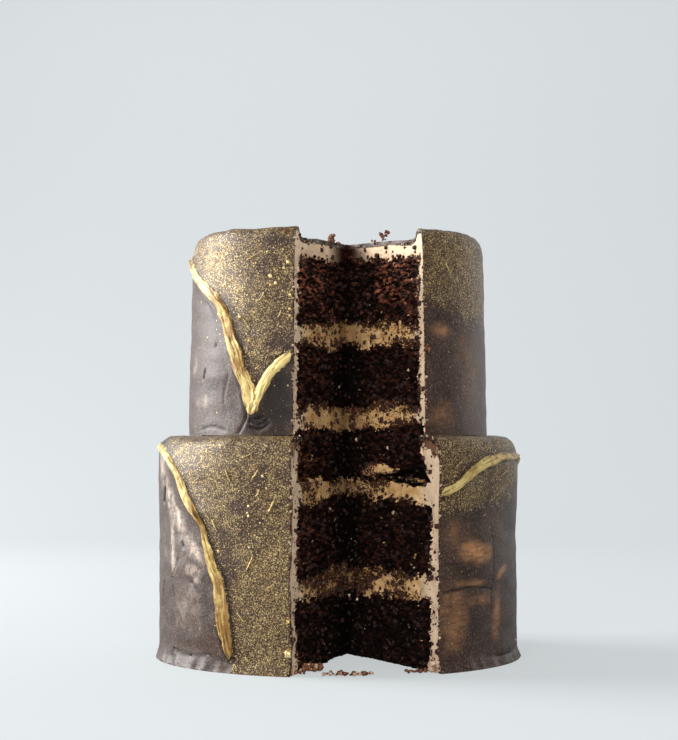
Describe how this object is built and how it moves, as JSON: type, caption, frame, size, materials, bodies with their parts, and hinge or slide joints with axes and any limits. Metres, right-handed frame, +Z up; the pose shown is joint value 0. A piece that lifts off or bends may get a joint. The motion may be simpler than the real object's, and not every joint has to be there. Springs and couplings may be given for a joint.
{
  "type": "tiered chocolate layer cake",
  "caption": "Tiered chocolate layer cake with a slice cut out of its front, showing dark sponge and buttercream layers under a chocolate coat with gold dust and gilded ridges.",
  "frame": {"origin": "on the tiers' common axis, at the foot of the lower tier", "axes": "+Z up, -Y towards the missing slice, +X to the right of someone who faces the slice"},
  "size_m": [0.1699, 0.1665, 0.1924],
  "materials": {
    "sponge": "porous dark chocolate crumb",
    "buttercream": "smeared mocha buttercream",
    "chocolate": "matte spread chocolate with gold dust",
    "gilt": "creased gold leaf"
  },
  "bodies": {
    "root": {"sponge_1": "sponge", "sponge_2": "sponge", "sponge_3": "sponge", "sponge_4": "sponge", "sponge_5": "sponge", "filling_1": "buttercream", "filling_2": "buttercream", "filling_3": "buttercream", "filling_4": "buttercream", "cream_lower": "buttercream", "cream_upper": "buttercream", "chocolate_lower": "chocolate", "chocolate_upper": "chocolate", "gilt_upper_left": "gilt", "gilt_upper_back": "gilt", "gilt_lower_left": "gilt", "gilt_lower_right": "gilt", "gilt_lower_back": "gilt"}
  },
  "joints": []
}
